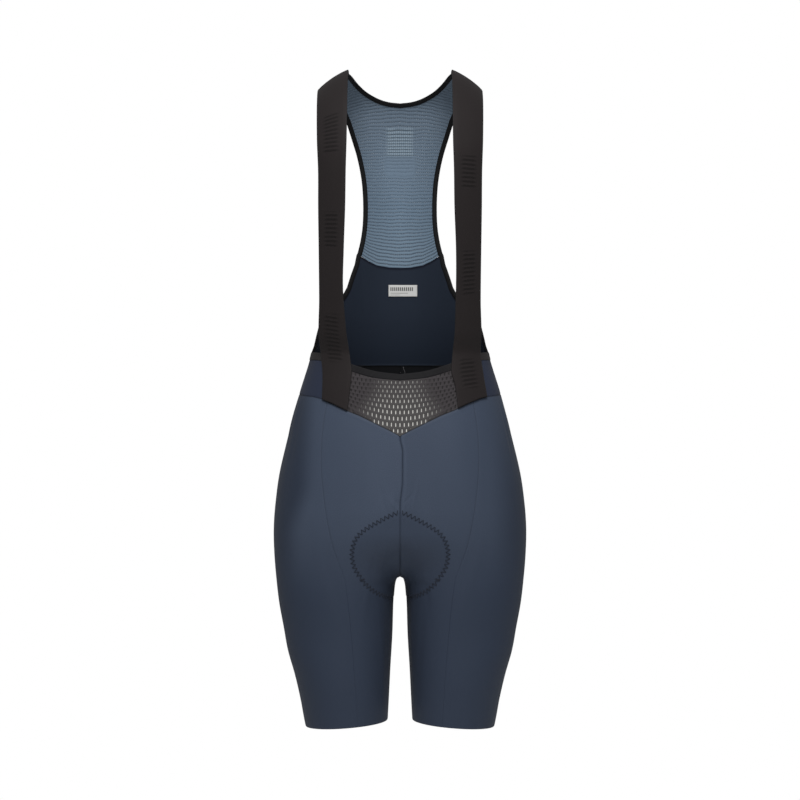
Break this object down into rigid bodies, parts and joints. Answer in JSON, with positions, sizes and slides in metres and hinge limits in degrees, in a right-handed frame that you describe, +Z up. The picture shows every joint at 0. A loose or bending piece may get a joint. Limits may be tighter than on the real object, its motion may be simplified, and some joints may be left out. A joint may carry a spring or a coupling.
{
  "type": "cycling bib shorts",
  "caption": "Navy women's cycling bib shorts filled out as worn: compressive panels, front mesh insert, wide elastic straps, racer back of mesh, bound edges and a sewn seat pad",
  "frame": {"origin": "on top of the shoulders, midway between the straps, where the wearer's shoulders hold the garment up", "axes": "+X the wearer's left, +Y the back of the garment, +Z up; the front faces -Y"},
  "size_m": [0.3418, 0.2434, 0.8835],
  "materials": {
    "jersey": "smooth matt warp-knit jersey with a faint sheen",
    "yoke": "softer matt jersey",
    "back_mesh": "fine ribbed open knit",
    "front_mesh": "open knit with small upright slots",
    "elastic": "flat woven elastic",
    "binding": "folded elastic binding",
    "label": "woven satin label",
    "pad": "brushed knit over foam"
  },
  "bodies": {
    "root": {"front_panel_left": "jersey", "side_panel_left": "jersey", "back_panel_left": "jersey", "hip_yoke_left": "yoke", "strap_left": "elastic", "armhole_binding_left": "binding", "front_panel_right": "jersey", "side_panel_right": "jersey", "back_panel_right": "jersey", "hip_yoke_right": "yoke", "strap_right": "elastic", "armhole_binding_right": "binding", "front_mesh": "front_mesh", "front_band": "elastic", "lower_back": "yoke", "back_mesh": "back_mesh", "neck_binding": "binding", "label": "label", "seat_pad": "pad"}
  },
  "joints": []
}
